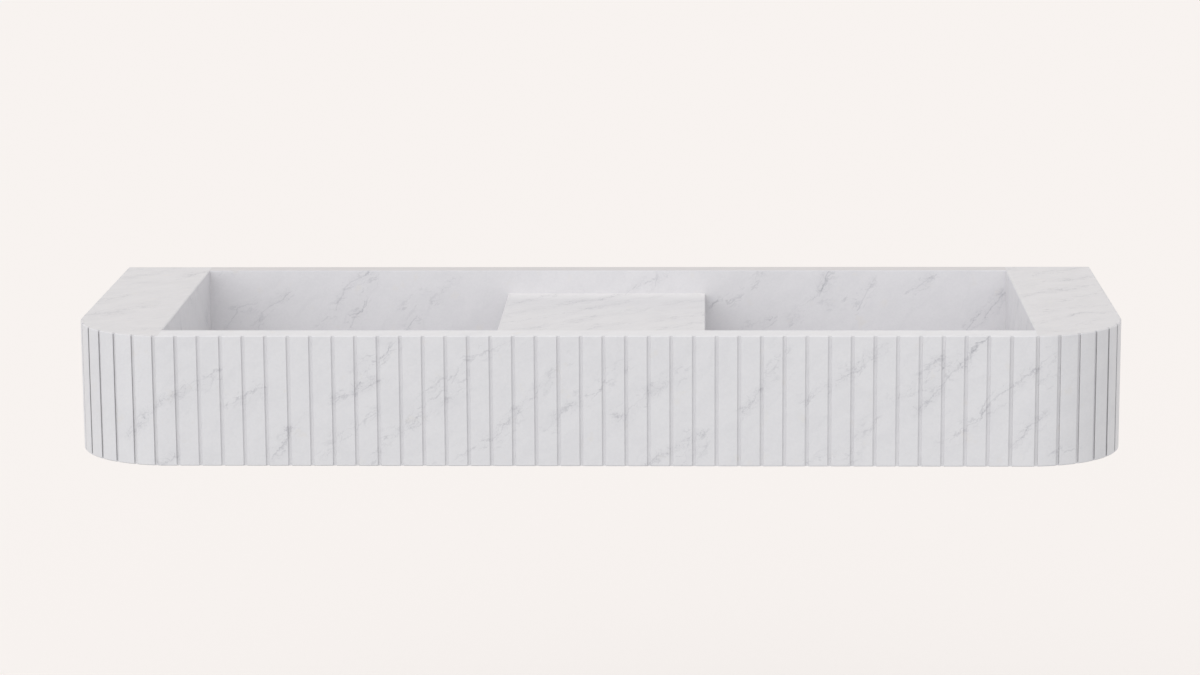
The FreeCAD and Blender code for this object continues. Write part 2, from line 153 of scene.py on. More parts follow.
# %% Texture helpers
MIX_SHARE, MIX_FIRST, MIX_SECOND, MIX_RESULT = 0, 6, 7, 2
Patches = namedtuple("Patches", "scale detail roughness start end shift", defaults=(None,))


def noise(place, scale, detail, roughness, output="Fac"):
    return place.node("ShaderNodeTexNoise", None,
                      {"Vector": place, "Scale": scale, "Detail": detail, "Roughness": roughness}, output)


def band(value, start, end, low=0.0, high=1.0):
    """Smooth step of a value from low to high, between start and end."""
    return value.node("ShaderNodeMapRange", {"interpolation_type": "SMOOTHSTEP"},
                      {"Value": value, "From Min": start, "From Max": end, "To Min": low, "To Max": high})


def moved(place, by):
    """Shift a point, so that the same texture gives another pattern."""
    return place.node("ShaderNodeVectorMath", {"operation": "ADD"}, {0: place, 1: by})


def stretched(place, by):
    """Scale a point along each axis, so that a texture is drawn out where the scale is small."""
    return place.node("ShaderNodeVectorMath", {"operation": "MULTIPLY"}, {0: place, 1: by})


def patchy(place, patches, low=0.0):
    """Soft patches of noise: low outside them and 1 where they are complete."""
    spot = moved(place, patches.shift) if patches.shift else place
    cloud = noise(spot, patches.scale, patches.detail, patches.roughness)
    return band(cloud, patches.start, patches.end, low)


def blend(share, first, second):
    """Mix two colours by a share."""
    return share.node("ShaderNodeMix", {"data_type": "RGBA"},
                      {MIX_SHARE: share, MIX_FIRST: first, MIX_SECOND: second}, MIX_RESULT)


def bump(height, strength, depth):
    """A Normal that makes a height show as relief of a depth in metres."""
    return height.node("ShaderNodeBump", None, {"Height": height, "Strength": strength, "Distance": depth})


print("texture helpers ready")

# %% [markdown]
# Every finish starts from a Principled shader and from Object coordinates, so that a pattern stays on its
# piece. The finished material goes on all measured pieces of a slot at once.

# %% Material helpers
def new_finish(name):
    """A new Principled material, its shader node and the object coordinates to start from."""
    material = bpy.data.materials.new(name)
    material.use_nodes = True
    tree = material.node_tree
    shader = tree.nodes["Principled BSDF"]
    place = Tap(tree).node("ShaderNodeTexCoord", output="Object")
    return material, shader, place


def feed(shader, **sockets):
    """Link taps, or set plain values, on the shader's sockets."""
    for name, value in sockets.items():
        socket = shader.inputs[name.replace("_", " ")]
        if isinstance(value, Tap):
            value.tree.links.new(value.socket, socket)
        else:
            socket.default_value = value


def coat_nodes(slot, material):
    """Give a material to every measured piece of a slot."""
    coated = [name for name, its_slot in slot_of.items() if its_slot == slot]
    for name in coated:
        nodes[name].data.materials.clear()
        nodes[name].data.materials.append(material)
    print(material.name, "on", len(coated), "pieces")


print("slots to coat", sorted(set(slot_of.values())))

# %% [markdown]
# ## Marble
#
# The stone is white marble with grey veins. The grey lies in belts that climb to the right across the
# front, and each belt is a cloudy band with ragged, broken lines in it, feathery dashes beside them and a
# few crackled patches. A real block is veined all the way through, so the pattern is worked out in space
# from Object coordinates. For most slabs the distance across the vein planes is folded to get belts at
# intervals, after noise has pushed the point about so that every line is torn.

# %% Marble belts
NOISE_MEAN = 0.5
HALF_SPACING = 0.5
DRIFT = dict(scale=4.0, detail=2.0, roughness=0.5)
Belts = namedtuple("Belts", "across per_metre wander shift")
VEIN_ACROSS = Vector((0.60, -0.62, -0.74)).normalized()
BRANCH_ACROSS = Vector((0.78, -0.50, -0.52)).normalized()
VEIN_BELTS = Belts(VEIN_ACROSS, per_metre=25.0, wander=4.6, shift=(0.13, 0.40, 0.20))
BRANCH_BELTS = Belts(BRANCH_ACROSS, per_metre=31.0, wander=5.0, shift=(2.7, 3.1, 0.9))


def along_axis(place, axis):
    """How far a point lies along an axis from the origin."""
    return place.node("ShaderNodeVectorMath", {"operation": "DOT_PRODUCT"}, {0: place, 1: axis}, "Value")


def along_veins(place, across, stretch):
    """A point in axes of the vein planes, with the two axes along the planes drawn out."""
    along = across.orthogonal().normalized()
    axes = (across, along * stretch, across.cross(along) * stretch)
    steps = [along_axis(place, axis) for axis in axes]
    return place.node("ShaderNodeCombineXYZ", None, dict(zip("XYZ", steps)))


def torn_up(place, rags, size):
    """A point pushed about by noise, so that what is drawn there gets ragged edges."""
    push = noise(place, **rags, output="Color")
    centred = push.node("ShaderNodeVectorMath", {"operation": "SUBTRACT"}, {0: push, 1: [NOISE_MEAN] * 3})
    return place.node("ShaderNodeVectorMath", {"operation": "MULTIPLY_ADD"},
                      {0: centred, 1: [size] * 3, 2: place})


def belt_distance(grain, belts):
    """How far a point is from the middle of the nearest belt, as a share of the belts' spacing."""
    across = grain.node("ShaderNodeSeparateXYZ", None, {"Vector": grain}, "X")
    drift = noise(moved(grain, belts.shift), **DRIFT) - NOISE_MEAN
    phase = across * belts.per_metre + drift * belts.wander
    return phase.maths("PINGPONG", phase, HALF_SPACING)


def near(distance, reach):
    """1 in the middle of a belt, fading to 0 at a reach."""
    return band(distance, 0.0, reach, 1.0, 0.0)


print("vein planes", [round(v, 2) for v in VEIN_BELTS.across])

# %% [markdown]
# On the front and on the back wall of the basins the photograph shows where the veins are. There each vein
# is given by its two ends, as X and Z in metres, and the distance to the nearest one takes the place of the
# folded distance. Wisps are fainter veins: a little is added to their distance, so they keep the cloud and
# lose the dark line. Behind the face, all of them lean the way the vein planes do.

# %% Drawn veins
VEIN_LEAN = -0.65
WISP_GAP = 0.0012
VeinDrawing = namedtuple("VeinDrawing", "face veins wisps tear line firm")
FRONT_VEINS = (
    (-0.540, -0.032, -0.425, 0.040), (-0.420, -0.004, -0.375, 0.022), (-0.372, -0.068, -0.343, -0.028),
    (-0.297, 0.008, -0.240, 0.034), (-0.262, 0.040, -0.225, 0.074), (-0.280, -0.034, -0.250, -0.010),
    (-0.215, -0.025, -0.150, 0.026), (-0.195, 0.004, -0.140, 0.054), (-0.140, 0.052, -0.100, 0.076),
    (-0.125, -0.040, -0.075, 0.004), (-0.075, 0.004, -0.025, 0.056), (-0.062, -0.028, 0.035, 0.050),
    (0.025, -0.014, 0.100, 0.042), (0.055, -0.070, 0.120, -0.032), (0.162, -0.012, 0.215, 0.066),
    (0.232, 0.002, 0.325, 0.064), (0.282, -0.062, 0.315, -0.014), (0.335, 0.008, 0.388, 0.056),
    (0.362, -0.006, 0.436, 0.076), (0.385, -0.050, 0.430, -0.014), (0.430, -0.014, 0.510, 0.062),
    (0.470, -0.042, 0.500, -0.014))
FRONT_WISPS = (
    (-0.497, -0.070, -0.478, -0.056), (-0.312, -0.064, -0.286, -0.036), (-0.274, 0.034, -0.242, 0.072),
    (-0.258, -0.070, -0.224, -0.030), (-0.180, -0.070, -0.112, -0.040), (-0.112, 0.058, -0.070, 0.078),
    (0.090, -0.066, 0.122, -0.046), (0.240, -0.070, 0.264, -0.054), (0.360, 0.018, 0.394, 0.046),
    (0.500, 0.024, 0.516, 0.042), (0.516, -0.060, 0.536, -0.040))
BACK_VEINS = (
    (-0.472, 0.008, -0.458, 0.030), (-0.458, 0.030, -0.436, 0.040), (-0.436, 0.004, -0.426, 0.028),
    (-0.426, 0.028, -0.398, 0.052), (-0.337, 0.026, -0.322, 0.059), (-0.322, 0.059, -0.296, 0.078),
    (-0.319, 0.004, -0.301, 0.040), (-0.250, 0.004, -0.236, 0.022), (0.264, 0.046, 0.277, 0.076),
    (0.312, 0.028, 0.328, 0.064), (0.372, 0.048, 0.408, 0.074), (0.446, 0.008, 0.462, 0.024),
    (0.468, 0.018, 0.494, 0.052))
BACK_WISPS = (
    (-0.488, 0.066, -0.460, 0.078), (-0.308, 0.052, -0.288, 0.066), (-0.256, 0.028, -0.222, 0.052),
    (-0.216, 0.036, -0.188, 0.072), (0.128, 0.032, 0.158, 0.042), (0.165, 0.048, 0.198, 0.078),
    (0.172, 0.006, 0.206, 0.018), (0.230, 0.010, 0.264, 0.046), (-0.362, 0.006, -0.346, 0.024),
    (0.270, 0.036, 0.312, 0.044), (0.030, 0.054, 0.076, 0.074))


def drawn_distance(point, drawing):
    """How far a point is from the nearest vein drawn on a face, in the same measure as belt_distance."""
    def from_vein(x_low, z_low, x_high, z_high):
        start, end = Vector((x_low, drawing.face, z_low)), Vector((x_high, drawing.face, z_high))
        along = (end - start).normalized()
        across = Vector((along.z, VEIN_LEAN, -along.x))
        aside = along_axis(point, across) - across.dot(start)
        from_middle = along_axis(point, along) - along.dot((start + end) / 2)
        past_end = abs(from_middle) - (end - start).length / 2
        return abs(aside) + past_end.maths("MAXIMUM", past_end, 0.0)

    distances = [from_vein(*vein) for vein in drawing.veins]
    distances += [from_vein(*wisp) + WISP_GAP for wisp in drawing.wisps]
    nearest = distances[0]
    for distance in distances[1:]:
        nearest = nearest.maths("MINIMUM", nearest, distance)
    return nearest * VEIN_BELTS.per_metre


print("drawn", len(FRONT_VEINS), "veins on the front and", len(BACK_VEINS), "on the back wall")

# %% [markdown]
# The grey of a vein is a sum of five things, each held to its own reach from the middle of the belt: the
# dark line, side branches, feathery dashes, crackle and the cloud that they all lie in. Patches of noise
# decide where a belt fades out and where a line breaks. Drawn veins fade less, because the photograph shows
# that they are there.

# %% Grey of the veins
VEIN_RAGS = dict(scale=22.0, detail=6.0, roughness=0.66)
FIBRE_RAGS = dict(scale=70.0, detail=4.0, roughness=0.62)
VEIN_TEAR, FIBRE_TEAR = 0.046, 0.014
FIBRE_ACROSS = Vector((0.48, -0.62, -0.80)).normalized()
VEIN_STRETCH, FIBRE_STRETCH = 0.40, 0.26
BELT_PATCHES = Patches(scale=8.0, detail=2.0, roughness=0.5, start=0.34, end=0.58, shift=(3.1, 1.7, 0.4))
LINE_PATCHES = Patches(scale=38.0, detail=3.0, roughness=0.6, start=0.44, end=0.56, shift=(4.3, 2.2, 5.1))
BRANCH_PATCHES = Patches(scale=38.0, detail=2.0, roughness=0.6, start=0.46, end=0.58, shift=(1.9, 6.2, 3.3))
CLOUD_PATCHES = Patches(scale=40.0, detail=5.0, roughness=0.68, start=0.40, end=0.68, shift=(1.3, 7.2, 2.1))
DASH_PATCHES = Patches(scale=230.0, detail=3.0, roughness=0.64, start=0.54, end=0.68, shift=(5.0, 1.0, 2.0))
BELT_REACH, LINE_REACH, BRANCH_REACH, DASH_REACH = 0.28, 0.032, 0.046, 0.42
CRACKS_PER_METRE, CRACK_REACH, CRACKLE_REACH = 95.0, 0.060, 0.34
DRAWN_FADE, DASH_FADE = 0.3, 0.80
STRAY_BRANCHES = 0.14
LINE_GREY, BRANCH_GREY, DASH_GREY, CRACKLE_GREY, CLOUD_GREY = 0.21, 0.30, 0.27, 0.30, 0.09


def vein_grey(place, drawing):
    """How grey the veins make the stone at a point, and the grain that its ground follows."""
    torn = torn_up(place, VEIN_RAGS, VEIN_TEAR)
    grain = along_veins(torn, VEIN_BELTS.across, VEIN_STRETCH)
    patches = patchy(place, BELT_PATCHES)
    if drawing:
        away = drawn_distance(torn_up(place, VEIN_RAGS, drawing.tear), drawing)
        patches = patches * DRAWN_FADE + (1 - DRAWN_FADE)
        line_grey, firm = drawing.line, drawing.firm
    else:
        away = belt_distance(grain, VEIN_BELTS)
        line_grey, firm = LINE_GREY, 0.0
    cloud = patchy(grain, CLOUD_PATCHES)
    belts = near(away, BELT_REACH) * patches

    line = near(away, LINE_REACH) * patches * patchy(grain, LINE_PATCHES, firm)
    branch_away = belt_distance(along_veins(torn, BRANCH_BELTS.across, VEIN_STRETCH), BRANCH_BELTS)
    branch = near(branch_away, BRANCH_REACH) * (belts + STRAY_BRANCHES) * patchy(grain, BRANCH_PATCHES)
    fibre = along_veins(torn_up(place, FIBRE_RAGS, FIBRE_TEAR), FIBRE_ACROSS, FIBRE_STRETCH)
    dash_patches = patches * DASH_FADE + (1 - DASH_FADE)
    dashes = patchy(fibre, DASH_PATCHES) * near(away, DASH_REACH) * dash_patches
    cells = torn.node("ShaderNodeTexVoronoi", {"feature": "DISTANCE_TO_EDGE"},
                      {"Vector": torn, "Scale": CRACKS_PER_METRE})
    crackle = near(cells, CRACK_REACH) * near(away, CRACKLE_REACH) * patches * cloud
    grey = (line * line_grey + branch * BRANCH_GREY + dashes * DASH_GREY + crackle * CRACKLE_GREY
            + cloud * belts * CLOUD_GREY)
    return grey, grain


print("belts per metre", VEIN_BELTS.per_metre, "and branches", BRANCH_BELTS.per_metre)

# %% [markdown]
# The slabs are honed where they show, but some places differ, and each is found by where it lies. Painted
# shade makes the flat tops of the decks and of the shelf slightly darker and warmer than the walls, and so,
# less strongly, the basins inside. The walls of the grooves carry painted shade, so they are darker: they lie
# a little inside the outline of the front and sides. The thin top edge of the back slab is painted darker,
# and a painted pool of light makes the shelf palest where it meets that slab.

# %% Places with another finish, painted shade or painted light
HALF_WIDTH, RIM = cad_box[1][0], cad_box[1][2]
DEPTH = -cad_box[0][1]
CORNER_RADIUS = 0.115
SLAB_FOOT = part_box("front_fascia")[0][2]
GROOVE_DEPTH = 0.0022
GROOVE_MOUTH, GROOVE_FLOOR, GROOVE_ENDS = 0.0008, 0.0006, 0.0020
BASIN_FRONT, BASIN_BACK = -0.415, -0.022
BASIN_INNER, BASIN_OUTER = 0.1225, 0.495
RIM_EDGE = 0.0016
SHELF_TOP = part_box("centre_shelf")[1][2]
SHELF_PALE = -0.075
# Shares of painted shade on the shelf and in the basins.
SHELF_SHADE, BASIN_SHADE = 0.42, 0.30
ARRIS = 0.001
EDGE = 0.0004


def split(place):
    """The three numbers of a point."""
    parts = place.node("ShaderNodeSeparateXYZ", None, {"Vector": place}).socket.node
    return [Tap(place.tree, parts.outputs[name]) for name in "XYZ"]


def hypotenuse(first, second):
    """The length of the line whose two legs are given."""
    square = first * first + second * second
    return square.maths("SQRT", square, 0.0)


def between(value, low, high):
    """1 between two places, with a thin soft edge outside each."""
    return band(value, low - EDGE, low) * band(value, high, high + EDGE, 1.0, 0.0)


def inside_outline(x, y):
    """How far a point lies inside the outline that runs round the sides, the corners and the front."""
    past_x = abs(x) - (HALF_WIDTH - CORNER_RADIUS)
    past_y = (CORNER_RADIUS - DEPTH) - y
    past_x, past_y = [past.maths("MAXIMUM", past, 0.0) for past in (past_x, past_y)]
    return CORNER_RADIUS - hypotenuse(past_x, past_y)


# Where painted shade darkens the walls of the grooves.
def on_groove_wall(x, y, z):
    upright = between(z, SLAB_FOOT + GROOVE_ENDS, RIM - GROOVE_ENDS)
    return between(inside_outline(x, y), GROOVE_MOUTH, GROOVE_DEPTH - GROOVE_FLOOR) * upright


def on_shelf(x, y, z):
    across = between(x, EDGE - BASIN_INNER, BASIN_INNER - EDGE) * between(y, BASIN_FRONT, BASIN_BACK)
    return across * between(z, SHELF_TOP - EDGE, SHELF_TOP + EDGE)


def painted_light_end(x, y, z):
    """Painted light: 1 on the shelf where it meets the back slab, fading out forwards."""
    return on_shelf(x, y, z) * band(y, SHELF_PALE, BASIN_BACK)


def top_shade_places(x, y, z):
    """Painted shade: 1 on the decks and the rims beside them, less on the shelf and less again in the basins.
    """
    decks = between(abs(x), BASIN_OUTER, HALF_WIDTH) * between(z, RIM - EDGE, RIM)
    inside = between(x, -BASIN_OUTER, BASIN_OUTER) * between(z, SLAB_FOOT, RIM - RIM_EDGE)
    basins = inside * between(y, BASIN_FRONT, BASIN_BACK)
    return decks + on_shelf(x, y, z) * SHELF_SHADE + basins * BASIN_SHADE


# The thin top edge of the back slab, which is painted darker.
def on_back_edge(x, y, z):
    on_slab = between(x, -BASIN_OUTER, BASIN_OUTER) * between(y, BASIN_BACK + ARRIS / 2, 0.0)
    return on_slab * between(z, RIM - ARRIS / 2, RIM)


print("outline", 2 * HALF_WIDTH, "by", DEPTH, "with corners of", CORNER_RADIUS)

# %% [markdown]
# The side against the wall is left as sawn: greyer, rougher and with the fine level lines of the saw. The
# grooves of the corners and sides carry much more painted shade than those of the long front. Together with
# the drawn veins that makes four versions of the stone: for the front, the corners, the back slab and all
# the rest.

# %% Marble
WALL_TONES = (0.776, 0.770, 0.790, 1), (0.708, 0.704, 0.728, 1)
# Painted shade: the tops are darker and slightly warmer than the walls.
SHADED_TOP_TONES = (0.713, 0.702, 0.716, 1), (0.655, 0.646, 0.661, 1)
STONE_WARM = (0.742, 0.716, 0.690, 1)
STONE_SAWN = (0.560, 0.556, 0.550, 1)
# Painted shade on the walls of the grooves.
GROOVE_PAINTED_SHADE = (0.330, 0.328, 0.332, 1)
# Darker tone painted on the thin top edge of the back slab.
STONE_DARK_EDGE = (0.612, 0.588, 0.592, 1)
# Painted pool of light on the shelf where it meets the back slab.
STONE_PAINTED_LIGHT = (0.850, 0.836, 0.842, 1)
VEIN_COLOUR = (0.290, 0.292, 0.330, 1)
MOTTLE = Patches(scale=60.0, detail=4.0, roughness=0.65, start=0.35, end=0.70)
SUGAR = Patches(scale=330.0, detail=2.0, roughness=0.6, start=0.32, end=0.68)
WARM_SPOTS = Patches(scale=40.0, detail=3.0, roughness=0.6, start=0.60, end=0.74, shift=(7.0, 2.0, 4.0))
MOTTLE_SHARE, SUGAR_SHARE, WARM_SHARE, DARK_EDGE_SHARE = 0.40, 0.25, 0.4, 0.9
SAWN_FROM, SAWN_TO = -0.0012, -0.0006
SAW_STRETCH = (2.0, 2.0, 420.0)
SAW_LINES = dict(scale=1.0, detail=3.0, roughness=0.6)
SAW_START, SAW_END, SAW_LEAST, SAW_MOST = 0.30, 0.75, 0.35, 0.75
SUGAR_RELIEF = 0.2
STONE_BUMP, STONE_BUMP_DEPTH = 0.35, 0.0002
HONED_ROUGH, MOTTLE_ROUGH, VEIN_ROUGH, SAWN_ROUGH = 0.36, 0.06, 0.10, 0.30


def make_marble(name, groove_shade_share, drawing):
    material, shader, place = new_finish(name)
    x, y, z = split(place)
    grey, grain = vein_grey(place, drawing)
    mottle, sugar = patchy(grain, MOTTLE), patchy(place, SUGAR)
    # Painted shade on the flat tops, the shelf and the basins.
    top_shade = top_shade_places(x, y, z)
    light, cloud = [blend(top_shade, wall, top) for wall, top in zip(WALL_TONES, SHADED_TOP_TONES)]
    ground = blend(mottle * MOTTLE_SHARE + sugar * SUGAR_SHARE, light, cloud)
    ground = blend(patchy(place, WARM_SPOTS) * WARM_SHARE, ground, STONE_WARM)
    # Painted light on the shelf where it meets the back slab.
    ground = blend(painted_light_end(x, y, z), ground, STONE_PAINTED_LIGHT)
    honed = blend(grey, ground, VEIN_COLOUR)

    # Painted shade darkens the walls of the grooves.
    groove_shaded = blend(on_groove_wall(x, y, z) * groove_shade_share, honed, GROOVE_PAINTED_SHADE)
    # The thin top edge of the back slab is painted darker.
    edged = blend(on_back_edge(x, y, z) * DARK_EDGE_SHARE, groove_shaded, STONE_DARK_EDGE)
    wall_side = band(y, SAWN_FROM, SAWN_TO)
    saw_lines = noise(stretched(place, SAW_STRETCH), **SAW_LINES)
    sawn = wall_side * band(saw_lines, SAW_START, SAW_END, SAW_LEAST, SAW_MOST)
    relief = sugar * SUGAR_RELIEF + wall_side * saw_lines
    feed(shader, Base_Color=blend(sawn, edged, STONE_SAWN), Normal=bump(relief, STONE_BUMP, STONE_BUMP_DEPTH),
         Roughness=HONED_ROUGH + mottle * MOTTLE_ROUGH + grey * VEIN_ROUGH + wall_side * SAWN_ROUGH)
    return material


# Shares of painted shade in the grooves: faint on the front, strong elsewhere.
FAINT_GROOVE_SHADE, STRONG_GROOVE_SHADE = 0.15, 0.95
front_drawing = VeinDrawing(-DEPTH, FRONT_VEINS, FRONT_WISPS, tear=0.030, line=LINE_GREY, firm=0.0)
back_drawing = VeinDrawing(BASIN_BACK, BACK_VEINS, BACK_WISPS, tear=0.023, line=0.32, firm=0.55)
corner_marble = make_marble("corner_marble", STRONG_GROOVE_SHADE, front_drawing)
MARBLE_OF = {"front_fascia": make_marble("front_marble", FAINT_GROOVE_SHADE, front_drawing),
             "left_corner": corner_marble, "right_corner": corner_marble,
             "back_slab": make_marble("back_marble", STRONG_GROOVE_SHADE, back_drawing)}
coat_nodes("marble", make_marble("honed_marble", STRONG_GROOVE_SHADE, None))
for name, marble in MARBLE_OF.items():
    nodes[name].data.materials[0] = marble
    print(marble.name, "on", name)

# %% [markdown]
# ## Chrome
#
# The flange, tail and cap of each waste are brass under polished chrome. Chrome has almost no colour of its
# own, so its look lies in the roughness: smudges and dried drops that are slightly duller than the polish.

# %% Chrome
CHROME_LIGHT = (0.640, 0.650, 0.670, 1)
CHROME_DULL = (0.520, 0.530, 0.550, 1)
SMUDGES = Patches(scale=70.0, detail=4.0, roughness=0.6, start=0.45, end=0.70)
DROPS_PER_METRE, DROP_CORE, DROP_EDGE = 190.0, 0.16, 0.24
SMUDGE_SHARE, DROP_SHARE = 0.4, 0.4
POLISH_ROUGH, SMUDGE_ROUGH, DROP_ROUGH = 0.07, 0.10, 0.14


def nearest_dot(place, per_metre):
    """How far a point is from the nearest of many scattered dots, as a share of their spacing."""
    return place.node("ShaderNodeTexVoronoi", {"feature": "F1"}, {"Vector": place, "Scale": per_metre})


def make_chrome():
    material, shader, place = new_finish("polished_chrome")
    smudge = patchy(place, SMUDGES)
    dried = band(nearest_dot(place, DROPS_PER_METRE), DROP_CORE, DROP_EDGE, 1.0, 0.0) * smudge
    dull = smudge * SMUDGE_SHARE + dried * DROP_SHARE
    feed(shader, Base_Color=blend(dull, CHROME_LIGHT, CHROME_DULL), Metallic=1.0,
         Roughness=POLISH_ROUGH + smudge * SMUDGE_ROUGH + dried * DROP_ROUGH)
    return material


chrome = make_chrome()
coat_nodes("chrome", chrome)

# %% [markdown]
# ## Brass
#
# The back nuts, the plungers and the inserts in the decks are plain brass. The tool that turned them left
# rings about their axis, and bare brass goes brown where fingers and damp have been. One finish serves both
# wastes, because the distance from the middle of the basin is taken without its sign.

# %% Brass
BRASS_BRIGHT = (0.720, 0.540, 0.270, 1)
BRASS_BROWN = (0.440, 0.300, 0.130, 1)
DRAIN_X, DRAIN_Y = 0.30875, -0.2185
RINGS_PER_METRE = 1600.0
RINGS = dict(scale=1.0, detail=2.0, roughness=0.6)
TARNISH = Patches(scale=120.0, detail=5.0, roughness=0.65, start=0.44, end=0.70)
BRASS_ROUGH, RING_ROUGH, TARNISH_ROUGH = 0.22, 0.12, 0.18
BRASS_BUMP, BRASS_BUMP_DEPTH = 0.25, 0.0001


def about_drain(place):
    """Height, distance from the axis of the nearest drain and turn round it."""
    x, y, z = split(place)
    dx, dy = abs(x) - DRAIN_X, y - DRAIN_Y
    return z, hypotenuse(dx, dy), dx.maths("ARCTAN2", dy, dx)


def make_brass():
    material, shader, place = new_finish("turned_brass")
    z, reach, turn = about_drain(place)
    swirl = place.node("ShaderNodeCombineXYZ", None,
                       {"X": reach * RINGS_PER_METRE, "Y": z * RINGS_PER_METRE, "Z": turn})
    rings = noise(swirl, **RINGS)
    tarnish = patchy(place, TARNISH)
    feed(shader, Base_Color=blend(tarnish, BRASS_BRIGHT, BRASS_BROWN), Metallic=1.0,
         Roughness=BRASS_ROUGH + rings * RING_ROUGH + tarnish * TARNISH_ROUGH,
         Normal=bump(rings, BRASS_BUMP, BRASS_BUMP_DEPTH))
    return material


coat_nodes("brass", make_brass())

# %% [markdown]
# ## Rubber
#
# Seals, gaskets and the pads under the decks are black rubber: dull, slightly grey with dust, and finely
# pebbled from the mould.

# %% Rubber
RUBBER_BLACK = (0.022, 0.022, 0.024, 1)
RUBBER_DUSTY = (0.075, 0.074, 0.072, 1)
RUBBER_DUST = Patches(scale=90.0, detail=5.0, roughness=0.65, start=0.42, end=0.72)
PEBBLES_PER_METRE = 1100.0
RUBBER_ROUGH, DUST_ROUGH = 0.62, 0.22
RUBBER_BUMP, RUBBER_BUMP_DEPTH = 0.30, 0.0001


def make_rubber():
    material, shader, place = new_finish("black_rubber")
    dust = patchy(place, RUBBER_DUST)
    pebbles = nearest_dot(place, PEBBLES_PER_METRE)
    feed(shader, Base_Color=blend(dust, RUBBER_BLACK, RUBBER_DUSTY),
         Roughness=RUBBER_ROUGH + dust * DUST_ROUGH,
         Normal=bump(pebbles, RUBBER_BUMP, RUBBER_BUMP_DEPTH))
    return material


coat_nodes("rubber", make_rubber())

# %% [markdown]
# ## Moulded plastic
#
# The cartridge that holds the plug is moulded in off-white plastic with a fine satin texture, a little
# yellower in its thick parts.

# %% Plastic
PLASTIC_WHITE = (0.760, 0.755, 0.730, 1)
PLASTIC_CREAM = (0.660, 0.640, 0.580, 1)
AGEING = Patches(scale=140.0, detail=3.0, roughness=0.6, start=0.40, end=0.70)
SATIN = dict(scale=2600.0, detail=2.0, roughness=0.6)
PLASTIC_ROUGH, SATIN_ROUGH = 0.34, 0.16
PLASTIC_BUMP, PLASTIC_BUMP_DEPTH = 0.20, 0.00005


def make_plastic():
    material, shader, place = new_finish("moulded_plastic")
    satin = noise(place, **SATIN)
    feed(shader, Base_Color=blend(patchy(place, AGEING), PLASTIC_WHITE, PLASTIC_CREAM),
         Roughness=PLASTIC_ROUGH + satin * SATIN_ROUGH, Normal=bump(satin, PLASTIC_BUMP, PLASTIC_BUMP_DEPTH))
    return material


coat_nodes("plastic", make_plastic())

# %% [markdown]
# ## Stainless steel
#
# Springs, dowels, bolts and washers are stainless steel, drawn or rolled, so the surface has fine lines and
# a few dull stains.

# %% Steel
STEEL_LIGHT = (0.580, 0.570, 0.555, 1)
STEEL_STAIN = (0.400, 0.385, 0.365, 1)
STAINS = Patches(scale=110.0, detail=4.0, roughness=0.6, start=0.48, end=0.72)
DRAW_STRETCH = (2200.0, 2200.0, 260.0)
DRAW_LINES = dict(scale=1.0, detail=3.0, roughness=0.6)
STEEL_ROUGH, LINE_ROUGH, STAIN_ROUGH = 0.24, 0.16, 0.12
STEEL_BUMP, STEEL_BUMP_DEPTH = 0.20, 0.00006


def make_steel():
    material, shader, place = new_finish("stainless_steel")
    lines = noise(stretched(place, DRAW_STRETCH), **DRAW_LINES)
    stain = patchy(place, STAINS)
    feed(shader, Base_Color=blend(stain, STEEL_LIGHT, STEEL_STAIN), Metallic=1.0,
         Roughness=STEEL_ROUGH + lines * LINE_ROUGH + stain * STAIN_ROUGH,
         Normal=bump(lines, STEEL_BUMP, STEEL_BUMP_DEPTH))
    return material


coat_nodes("steel", make_steel())

# %% [markdown]
# ## Powder coat
#
# The brackets are welded steel with a graphite powder coat. Melted powder dries with the skin of an orange,
# and where tools and bolts have rubbed it the coat is paler.

# %% Powder coat
COAT_GRAPHITE = (0.050, 0.051, 0.055, 1)
COAT_RUBBED = (0.130, 0.130, 0.132, 1)
RUBBED = Patches(scale=60.0, detail=6.0, roughness=0.7, start=0.56, end=0.74)
PEEL = dict(scale=750.0, detail=2.0, roughness=0.5)
COAT_ROUGH, PEEL_ROUGH, RUBBED_ROUGH = 0.42, 0.16, 0.10
COAT_BUMP, COAT_BUMP_DEPTH = 0.45, 0.00015


def make_powder_coat():
    material, shader, place = new_finish("graphite_powder_coat")
    peel = noise(place, **PEEL)
    rubbed = patchy(place, RUBBED)
    feed(shader, Base_Color=blend(rubbed, COAT_GRAPHITE, COAT_RUBBED),
         Roughness=COAT_ROUGH + peel * PEEL_ROUGH + rubbed * RUBBED_ROUGH,
         Normal=bump(peel, COAT_BUMP, COAT_BUMP_DEPTH))
    return material


powder_coat = make_powder_coat()
coat_nodes("bracket_paint", powder_coat)

# %% [markdown]
# ## Geometry Nodes trees
#
# Three kinds of detail follow a path: sealant round the basin floors, welds in the brackets and the threads
# on the tails. They suit Geometry Nodes. A tree is built here from Python: its sizes are named inputs, and
# each input of the modifier is set by its identifier before the tree first runs. The result is then turned
# into a plain mesh and the modifier goes.

# %% Tree helpers
def new_tree(name, sizes):
    """A geometry tree with a geometry input and named sizes."""
    tree = bpy.data.node_groups.new(name, "GeometryNodeTree")
    tree.interface.new_socket("Geometry", in_out="INPUT", socket_type="NodeSocketGeometry")
    for size in sizes:
        tree.interface.new_socket(size, in_out="INPUT", socket_type="NodeSocketFloat")
    tree.interface.new_socket("Geometry", in_out="OUTPUT", socket_type="NodeSocketGeometry")
    return tree, tree.nodes.new("NodeGroupInput"), tree.nodes.new("NodeGroupOutput")


def step(tree, kind, settings=None, inputs=None):
    """Add a node, set it and feed its sockets from values or from other sockets."""
    made = tree.nodes.new(kind)
    for name, value in (settings or {}).items():
        setattr(made, name, value)
    for name, value in (inputs or {}).items():
        if isinstance(value, bpy.types.NodeSocket):
            tree.links.new(value, made.inputs[name])
        else:
            made.inputs[name].default_value = value
    return made


